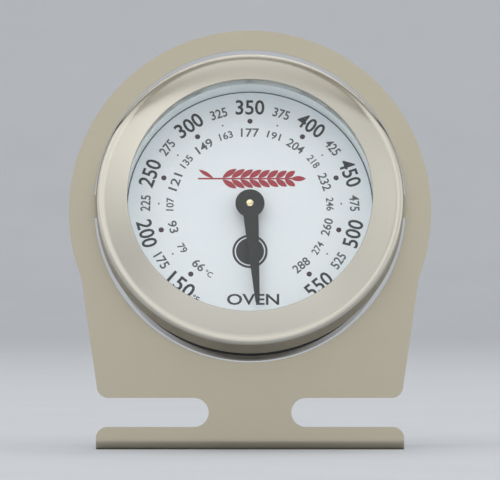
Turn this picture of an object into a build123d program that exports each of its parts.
from build123d import *
import math
import os

# Oven thermometer: a round dial head hung on two tongues inside an arched sheet stand.
# Millimetres. +Z is up, the dial faces -Y, X runs left to right, and the origin is the
# middle of the foot's flat underside. The stand is drawn with its upright sheet on y = 0.
# Head pieces are drawn in the head's own frame: its axis is Y, the front is at -Y, and the
# origin is on the tilt axis. stand() and head() then put the pieces in the row's frame.

# ---- driving dimensions ----
# overall
bezel_radius = 30.1
front_depth = 5.4          # bezel rim to tilt axis
head_tilt = 19.0           # degrees the face looks up as stored
pointer_angle = 175.8      # degrees clockwise from the top of the dial as stored

# stand
sheet = 0.9
hole_gap = 0.5             # bezel to the edge of the round hole
arch_margin = 4.9          # sheet around the hole
arch_drop = 1.05           # arch centre below the hole centre
lower_web = 6.95           # sheet between the rack slots and the hole
side_inset_top = 3.0       # upper point of the straight side edge, inside the arch radius
side_inset_low = 5.8       # lower end of the side edge, before its corner
side_drop = 17.85          # upper point of the side edge below the hole centre
slot_floor = 4.4
slot_height = 5.7
neck_half = 8.1
foot_inset = 5.3
foot_depth = 28.0
bend_inner = 0.8
side_blend = 8.0
edge_corner = 2.2
flange_corner = 5.0

# pivots
tongue_width = 1.8
tongue_reach = 3.6
tongue_clearance = 0.05
shoulder_width = 4.6
shoulder_height = 0.65
eyelet_wall = 0.55
eyelet_flange = 1.0
eyelet_flange_thickness = 0.4
eyelet_lip = 0.5
pivot_notch_clearance = 0.5
washer_sheet = 0.25
washer_play = 0.1

# case and bezel
head_sheet = 0.5
wall_inset = 1.6           # case wall inside the bezel's outer radius
swing_gap = 0.22           # case corner to the hole's edge in a full turn
bezel_swing_gap = 0.05     # least gap from the bezel's front corner to the hole's edge in a full turn
case_corner = 2.0
case_flange_front = -0.4
case_flange_gap = 0.15     # flange edge to the bezel skirt
crimp_reach = 0.7
bezel_width = 6.2
bezel_corner = 0.9
bezel_rise = 1.8           # window edge in front of the bezel's rim
vent_radius = 1.5
vent_inset = 3.9           # vent circle inside the support's foot
vent_count = 8

# window and dial
gasket_thickness = 0.4
gasket_width = 1.2
gasket_bearing = 0.3       # flat of the bezel that bears on the gasket
lens_thickness = 1.5
lens_clearance = 0.7
spacer_sheet = 0.5
spacer_flange_inset = 0.9
spacer_inset = 0.4         # spacer wall outside the window's edge
window_space = 3.7         # lens to dial
dial_thickness = 0.4
dial_clearance = 1.1       # dial edge to the inside of the case wall
dial_hole = 1.2

# movement
support_inset = 1.0        # support web inside the dial's edge
support_sheet = 0.5
support_foot = 3.0
bridge_offset = 0.9        # back of the dial to the front of the bridge
bridge_thickness = 0.8
bridge_width = 9.0
bridge_tab = 5.5
rivet_radius = 0.9
rivet_head = 1.7
rivet_head_height = 0.5
spindle_radius = 0.75
spindle_clearance = 0.05
bushing_wall = 1.2
bushing_flange = 1.0
bushing_flange_thickness = 0.5
boss_height = 2.2
boss_flange = 1.3
boss_floor = 0.5
tail_radius = 1.4          # riveted tail of the rear bushing through the case's back
tail_head = 2.3
tail_head_height = 0.4
thrust_thickness = 0.3
thrust_radius = 1.8
end_play = 0.1
collet_radius = 2.2
collet_length = 3.2
coil_strip = 0.5
coil_pitch = 1.7
coil_width = 2.8
coil_turns = 6
anchor_sheet = 0.6
anchor_width = 3.0
anchor_foot = 4.6

# pointer
pointer_lift = 1.6         # dial to the collar behind the pointer
pointer_sheet = 0.35
pointer_tip_gap = 3.6      # pointer tip to the spacer wall
pointer_root_half = 1.5
pointer_tip_half = 0.42
pointer_eye_radius = 2.85
hub_radius = 2.0
hub_height = 0.75
spindle_proud = 0.25       # spindle tip in front of the pointer

# ---- sizes that follow ----
bezel_swing = math.hypot(bezel_radius - bezel_corner, front_depth - bezel_corner) + bezel_corner
hole_radius = max(bezel_radius + hole_gap, bezel_swing + bezel_swing_gap)
slot_top = slot_floor + slot_height
axis_height = slot_top + lower_web + hole_radius
arch_radius = hole_radius + arch_margin
arch_height = axis_height - arch_drop
side_half_top = arch_radius - side_inset_top
side_half_low = arch_radius - side_inset_low
side_top_height = axis_height - side_drop
foot_half = arch_radius - foot_inset
bend_outer = bend_inner + sheet
foot_middle = (bend_outer - sheet / 2 + foot_depth) / 2
tongue_half_diagonal = math.hypot(tongue_width, sheet) / 2
eyelet_bore = tongue_half_diagonal + tongue_clearance
eyelet_barrel = eyelet_bore + eyelet_wall
notch_radius = eyelet_barrel + eyelet_flange + pivot_notch_clearance

front_face = -front_depth
wall_radius = bezel_radius - wall_inset
wall_inner = wall_radius - head_sheet
swing_radius = hole_radius - swing_gap
case_back = case_corner + math.sqrt(
    (swing_radius - case_corner) ** 2 - (wall_radius - case_corner) ** 2
)
case_floor = case_back - head_sheet
skirt_inner = bezel_radius - head_sheet
case_flange_back = case_flange_front + head_sheet
case_flange_radius = skirt_inner - case_flange_gap
skirt_end = case_flange_back + head_sheet
window_radius = bezel_radius - bezel_width

gasket_front = front_face + head_sheet
lens_front = gasket_front + gasket_thickness
lens_back = lens_front + lens_thickness
lens_radius = skirt_inner - lens_clearance
face_radius = lens_radius - gasket_bearing
spacer_radius = window_radius + spacer_inset
dial_front = lens_back + window_space
dial_back = dial_front + dial_thickness
dial_radius = wall_inner - dial_clearance

bridge_front = dial_back + bridge_offset
bridge_back = bridge_front + bridge_thickness
tab_back = bridge_front + bridge_tab
rivet_y = (bridge_back + tab_back) / 2
support_radius = dial_radius - support_inset
support_inner = support_radius - support_sheet
support_mouth = support_radius - support_foot
vent_circle = support_mouth - vent_inset
bushing_radius = spindle_radius + spindle_clearance + bushing_wall
bushing_back = bridge_back + bushing_flange_thickness
collet_front = bushing_back + end_play + thrust_thickness
collet_back = collet_front + collet_length
coil_front = collet_front + (collet_length - coil_width) / 2
coil_back = coil_front + coil_width
coil_end = collet_radius + coil_turns * coil_pitch
anchor_x = coil_end + coil_strip
anchor_rivet_x = anchor_x + 0.6 * anchor_foot
boss_radius = bushing_radius
boss_front = case_floor - boss_height
spindle_back = case_floor - boss_floor - end_play

hub_back = dial_front - pointer_lift
hub_front = hub_back - hub_height
pointer_front = hub_front - pointer_sheet
spindle_front = pointer_front - spindle_proud
pointer_length = spacer_radius - pointer_tip_gap


def disc(radius, start, end):
    """Cylinder along the head axis from y = start to y = end."""
    return Pos(0, (start + end) / 2, 0) * Rot(90, 0, 0) * Cylinder(radius, end - start)


def tube(inner, outer, start, end):
    """Ring along the head axis."""
    return disc(outer, start, end) - disc(inner, start - 1, end + 1)


def bar_x(radius, start, end):
    """Cylinder along X from x = start to x = end."""
    return Pos((start + end) / 2, 0, 0) * Rot(0, 90, 0) * Cylinder(radius, end - start)


def block(x0, x1, y0, y1, z0, z1):
    """Box between two corners."""
    return Pos((x0 + x1) / 2, (y0 + y1) / 2, (z0 + z1) / 2) * Box(x1 - x0, y1 - y0, z1 - z0)


def rounded_end(solid, y, radius, fillet_radius):
    """Rounds the circular edge of one radius that lies in the plane y."""
    edges = [
        edge
        for edge in solid.edges().filter_by(GeomType.CIRCLE)
        if abs(edge.center(CenterOf.BOUNDING_BOX).Y - y) < 1e-4 and abs(edge.radius - radius) < 1e-4
    ]
    return fillet(edges, fillet_radius)


def stand(solid):
    """Takes a stand piece from the sheet's frame to the row's frame."""
    return Pos(0, -foot_middle, 0) * solid


def head(solid):
    """Takes a head piece from the head's own frame to the row's frame."""
    return Pos(0, -foot_middle, axis_height) * Rot(-head_tilt, 0, 0) * solid


def turned_pointer(solid):
    """Turns a piece drawn with its pointer at the top to the stored reading."""
    return Rot(0, pointer_angle, 0) * solid


# ---- stand ----
def make_stand_plate():
    # the straight side edge, carried up to where it meets the arch
    slope = (side_half_top - side_half_low) / (side_top_height - slot_top)
    offset = side_half_top - slope * side_top_height
    quad_a = 1 + slope ** 2
    quad_b = 2 * (slope * offset - arch_height)
    quad_c = offset ** 2 + arch_height ** 2 - arch_radius ** 2
    join_height = (-quad_b - math.sqrt(quad_b ** 2 - 4 * quad_a * quad_c)) / (2 * quad_a)
    join_half = offset + slope * join_height
    lower_face = make_face(
        Polyline(
            (-side_half_low, slot_top),
            (side_half_low, slot_top),
            (join_half, join_height),
            (0, arch_height),
            (-join_half, join_height),
            close=True,
        )
    )
    upright = Pos(0, arch_height) * Circle(arch_radius) + lower_face
    below_join = [
        v for v in upright.vertices() if abs(v.Y - join_height) < 0.01 and abs(v.X) > side_half_low
    ]
    upright = fillet(below_join, side_blend)
    low_corners = [
        v for v in upright.vertices() if abs(v.Y - slot_top) < 1e-4 and abs(v.X) > neck_half + 1
    ]
    upright = fillet(low_corners, edge_corner)
    upright -= Pos(0, axis_height) * Circle(hole_radius)

    # foot bar and neck, with round-ended slots that are open at the sides
    slot_round = slot_height / 2
    bar = Pos(0, (slot_floor + bend_outer) / 2) * Rectangle(2 * foot_half, slot_floor - bend_outer)
    bar_corners = [v for v in bar.vertices() if v.Y > slot_floor - 0.01]
    bar = fillet(bar_corners, min(edge_corner, (slot_floor - bend_outer) * 0.9))
    neck = Pos(0, slot_floor + slot_round) * Rectangle(2 * (neck_half + slot_round), slot_height + 0.02)
    for side in (-1, 1):
        neck -= Pos(side * (neck_half + slot_round), slot_floor + slot_round) * Circle(slot_round)
    sheet_face = upright + bar + neck
    plate = extrude(Plane.XZ * sheet_face, sheet / 2, both=True)

    # the bend and the foot flange behind it
    bend_outline = make_face(
        Polyline(
            (-sheet / 2, bend_outer),
            (-sheet / 2, 0),
            (foot_depth, 0),
            (foot_depth, sheet),
            (sheet / 2, sheet),
            (sheet / 2, bend_outer),
            close=True,
        )
    )
    outer_corner = bend_outline.vertices().filter_by(
        lambda v: abs(v.X + sheet / 2) < 1e-4 and abs(v.Y) < 1e-4
    )
    bend_outline = fillet(outer_corner, bend_outer - 0.001)
    inner_corner = bend_outline.vertices().filter_by(
        lambda v: abs(v.X - sheet / 2) < 1e-4 and abs(v.Y - sheet) < 1e-4
    )
    bend_outline = fillet(inner_corner, bend_inner - 0.001)
    flange = extrude(Plane.YZ * bend_outline, foot_half, both=True)
    flange_edges = flange.edges().filter_by(Axis.Z).filter_by(lambda e: e.center().Y > foot_depth - 0.01)
    flange = fillet(flange_edges, flange_corner)
    plate += flange

    # tongues that reach inward through the head's eyelets
    for side in (-1, 1):
        root = side * (hole_radius + 0.4)
        tip = side * (hole_radius - tongue_reach)
        shoulder = side * (hole_radius - shoulder_height)
        half = tongue_width / 2
        plate += Pos((root + tip) / 2, 0, axis_height) * Box(abs(root - tip), sheet, 2 * half)
        plate += Pos((root + shoulder) / 2, 0, axis_height) * Box(abs(root - shoulder), sheet, shoulder_width)
    return plate


# ---- case and window ----
def make_case_cup():
    cup = rounded_end(disc(wall_radius, case_flange_front, case_back), case_back, wall_radius, case_corner)
    hollow = disc(wall_inner, case_flange_front - 1, case_floor)
    hollow = rounded_end(hollow, case_floor, wall_inner, case_corner - head_sheet)
    flange = disc(case_flange_radius, case_flange_front, case_flange_back)
    pivots = bar_x(notch_radius, -bezel_radius, bezel_radius) - disc(wall_radius, -20, 20)
    cup = cup + flange - hollow - pivots - bar_x(eyelet_barrel, -bezel_radius, bezel_radius)
    for index in range(vent_count):
        angle = math.radians(360 / vent_count * (index + 0.5))
        x = vent_circle * math.sin(angle)
        z = vent_circle * math.cos(angle)
        cup -= Pos(x, 0, z) * disc(vent_radius, case_floor - 1, case_back + 1)
    cup -= disc(tail_radius, case_floor - 1, case_back + 1)
    return cup - Pos(anchor_rivet_x, 0, 0) * disc(rivet_radius, case_floor - 1, case_back + 1)


def make_bezel():
    outside = disc(bezel_radius, front_face, skirt_end)
    outside = rounded_end(outside, front_face, bezel_radius, bezel_corner)
    inside = disc(skirt_inner, gasket_front, case_flange_back)
    inside = rounded_end(inside, gasket_front, skirt_inner, bezel_corner - head_sheet)
    # the face rises from the flat at the rim to the window's edge
    slope = bezel_rise / (face_radius - window_radius)
    rise = bezel_rise + slope
    face = Pos(0, front_face - rise / 2, 0) * Rot(90, 0, 0) * Cone(face_radius, window_radius - 1, rise)
    behind = Pos(0, head_sheet, 0) * face
    window = disc(window_radius, front_face - rise - 1, skirt_end + 1)
    mouth = disc(skirt_inner - crimp_reach, case_flange_back - 0.5, skirt_end + 1)
    ring = outside + face - inside - behind - window - mouth
    ring = rounded_end(ring, front_face - bezel_rise, window_radius, head_sheet * 0.4)
    return ring - bar_x(notch_radius, -bezel_radius - 1, bezel_radius + 1)


def make_lens_gasket():
    return tube(lens_radius - gasket_width, lens_radius, gasket_front, lens_front)


def make_lens():
    return disc(lens_radius, lens_front, lens_back)


def make_spacer_ring():
    wall = tube(spacer_radius, spacer_radius + spacer_sheet, lens_back, dial_front)
    return wall + tube(spacer_radius, lens_radius - spacer_flange_inset, lens_back, lens_back + spacer_sheet)


def make_dial_plate():
    return tube(dial_hole, dial_radius, dial_front, dial_back)


# ---- movement ----
def make_dial_support():
    web = tube(support_inner, support_radius, dial_back, case_floor)
    seat = tube(support_inner, dial_radius, dial_back, dial_back + support_sheet)
    foot = tube(support_mouth, support_radius, case_floor - support_sheet, case_floor)
    ring = web + seat + foot
    rivets = Pos(0, rivet_y, 0) * Cylinder(rivet_radius, 4 * support_radius)
    return ring - rivets


def make_movement_bridge():
    strap = block(
        -bridge_width / 2, bridge_width / 2, bridge_front, bridge_back, -support_inner, support_inner
    )
    for side in (-1, 1):
        outer = side * support_inner
        inner = side * (support_inner - 2 * bridge_thickness)
        strap += block(
            -bridge_width / 2, bridge_width / 2, bridge_front, tab_back, min(outer, inner), max(outer, inner)
        )
    rim = disc(support_inner, bridge_front - 1, tab_back + 1)
    core = disc(support_inner - bridge_thickness, bridge_back, tab_back + 1)
    strap = (strap & rim) - core
    strap -= disc(bushing_radius, bridge_front - 1, bridge_back + 1)
    return strap - Pos(0, rivet_y, 0) * Cylinder(rivet_radius, 4 * support_radius)


def make_bridge_rivet(side):
    far = support_radius + rivet_head_height
    near = support_inner - bridge_thickness - rivet_head_height
    shank = Pos(0, rivet_y, side * (far + near) / 2) * Cylinder(rivet_radius, far - near)
    outer_head = Pos(0, rivet_y, side * (far - 0.5)) * Cylinder(rivet_head, 1)
    outer_head -= disc(support_radius, dial_back - 5, case_floor + 5)
    inner_head = Pos(0, rivet_y, side * (near + 0.5)) * Cylinder(rivet_head, 1)
    inner_head &= disc(support_inner - bridge_thickness, dial_back - 5, case_floor + 5)
    return shank + outer_head + inner_head


def make_front_bushing():
    barrel = disc(bushing_radius, bridge_front - 0.4, bushing_back)
    collar = disc(bushing_radius + bushing_flange, bridge_back, bushing_back)
    return barrel + collar - disc(spindle_radius + spindle_clearance, dial_front, bushing_back + 1)


def make_rear_bushing():
    boss = disc(boss_radius, boss_front, case_floor)
    flange = disc(boss_radius + boss_flange, case_floor - bushing_flange_thickness, case_floor)
    tail = disc(tail_radius, case_floor, case_back)
    tail_end = rounded_end(
        disc(tail_head, case_back, case_back + tail_head_height),
        case_back + tail_head_height,
        tail_head,
        tail_head_height * 0.6,
    )
    bore = disc(spindle_radius + spindle_clearance, boss_front - 1, case_floor - boss_floor)
    return boss + flange + tail + tail_end - bore


def make_bimetal_coil():
    # a spiral of half circles whose centres alternate by half a pitch
    edges = []
    for index in range(2 * coil_turns):
        centre = (index % 2) * coil_pitch / 2
        side = 1 - 2 * (index % 2)
        for face_offset in (0, coil_strip):
            radius = collet_radius + index * coil_pitch / 2 + face_offset
            start = (centre + side * radius, 0)
            middle = (centre, side * radius)
            finish = (centre - side * radius, 0)
            edges.append(ThreePointArc(start, middle, finish))
    edges.append(Line((collet_radius, 0), (collet_radius + coil_strip, 0)))
    edges.append(Line((coil_end, 0), (coil_end + coil_strip, 0)))
    strip = make_face(edges)
    return Pos(0, coil_back, 0) * extrude(Plane.XZ * strip, coil_width)


def make_coil_anchor():
    half = anchor_width / 2
    post = block(anchor_x, anchor_x + anchor_sheet, coil_front, case_floor, -half, half)
    foot_front = case_floor - anchor_sheet
    foot = block(anchor_x, anchor_x + anchor_foot, foot_front, case_floor, -half, half)
    return post + foot - Pos(anchor_rivet_x, 0, 0) * disc(rivet_radius, foot_front - 1, case_back + 1)


def make_anchor_rivet():
    inside = case_floor - anchor_sheet
    shank = disc(rivet_radius, inside - rivet_head_height, case_back + rivet_head_height)
    inner_head = disc(rivet_head, inside - rivet_head_height, inside)
    outer_head = disc(rivet_head, case_back, case_back + rivet_head_height)
    outer_head = rounded_end(
        outer_head, case_back + rivet_head_height, rivet_head, rivet_head_height * 0.6
    )
    return Pos(anchor_rivet_x, 0, 0) * (shank + inner_head + outer_head)


# ---- pivots ----
def make_pivot_eyelet(side):
    tip = wall_inner - eyelet_lip
    brim = wall_radius + eyelet_flange_thickness
    barrel = bar_x(eyelet_barrel, tip, brim)
    flange = bar_x(eyelet_barrel + eyelet_flange, wall_inner, brim) - disc(wall_radius, -10, 10)
    lip = bar_x(eyelet_barrel + eyelet_lip, tip, wall_radius) & disc(wall_inner, -10, 10)
    eyelet = barrel + flange + lip - bar_x(eyelet_bore, tip - 1, brim + 1)
    return eyelet if side > 0 else mirror(eyelet, Plane.YZ)


def make_friction_washer(side):
    base = wall_radius + eyelet_flange_thickness
    crest = hole_radius - shoulder_height - washer_play
    outer = eyelet_barrel + eyelet_flange - 0.2
    inner = eyelet_bore + 0.1
    profile = make_face(
        Polyline(
            (base, outer),
            (base + washer_sheet, outer),
            (crest, inner),
            (crest - washer_sheet, inner),
            close=True,
        )
    )
    washer = revolve(profile, Axis.X)
    return washer if side > 0 else mirror(washer, Plane.YZ)


# ---- pointer ----
def make_spindle():
    rod = disc(spindle_radius, spindle_front, spindle_back)
    return rounded_end(rod, spindle_front, spindle_radius, 0.15)


def make_thrust_washer():
    return tube(spindle_radius, thrust_radius, bushing_back + end_play, collet_front)


def make_coil_collet():
    return tube(spindle_radius, collet_radius, collet_front, collet_back)


def make_pointer():
    blade = make_face(
        Polyline(
            (-pointer_root_half, 0),
            (pointer_root_half, 0),
            (pointer_tip_half, pointer_length - pointer_tip_half),
            (-pointer_tip_half, pointer_length - pointer_tip_half),
            close=True,
        )
    )
    outline = blade + Pos(0, pointer_length - pointer_tip_half) * Circle(pointer_tip_half)
    outline += Circle(pointer_eye_radius)
    outline -= Circle(spindle_radius)
    return turned_pointer(Pos(0, hub_front, 0) * extrude(Plane.XZ * outline, pointer_sheet))


def make_pointer_hub():
    return tube(spindle_radius, hub_radius, hub_front, hub_back)


os.makedirs("parts", exist_ok=True)
export_step(stand(make_stand_plate()), "parts/stand_plate.step")
export_step(head(make_case_cup()), "parts/case_cup.step")
export_step(head(make_bezel()), "parts/bezel.step")
export_step(head(make_lens_gasket()), "parts/lens_gasket.step")
export_step(head(make_lens()), "parts/lens.step")
export_step(head(make_spacer_ring()), "parts/spacer_ring.step")
export_step(head(make_dial_plate()), "parts/dial_plate.step")
export_step(head(make_dial_support()), "parts/dial_support.step")
export_step(head(make_movement_bridge()), "parts/movement_bridge.step")
export_step(head(make_bridge_rivet(1)), "parts/bridge_rivet_top.step")
export_step(head(make_bridge_rivet(-1)), "parts/bridge_rivet_bottom.step")
export_step(head(make_front_bushing()), "parts/front_bushing.step")
export_step(head(make_rear_bushing()), "parts/rear_bushing.step")
export_step(head(make_bimetal_coil()), "parts/bimetal_coil.step")
export_step(head(make_coil_anchor()), "parts/coil_anchor.step")
export_step(head(make_anchor_rivet()), "parts/anchor_rivet.step")
export_step(head(make_pivot_eyelet(-1)), "parts/pivot_eyelet_left.step")
export_step(head(make_pivot_eyelet(1)), "parts/pivot_eyelet_right.step")
export_step(head(make_friction_washer(-1)), "parts/friction_washer_left.step")
export_step(head(make_friction_washer(1)), "parts/friction_washer_right.step")
export_step(head(make_spindle()), "parts/spindle.step")
export_step(head(make_thrust_washer()), "parts/thrust_washer.step")
export_step(head(make_coil_collet()), "parts/coil_collet.step")
export_step(head(make_pointer()), "parts/pointer.step")
export_step(head(make_pointer_hub()), "parts/pointer_hub.step")
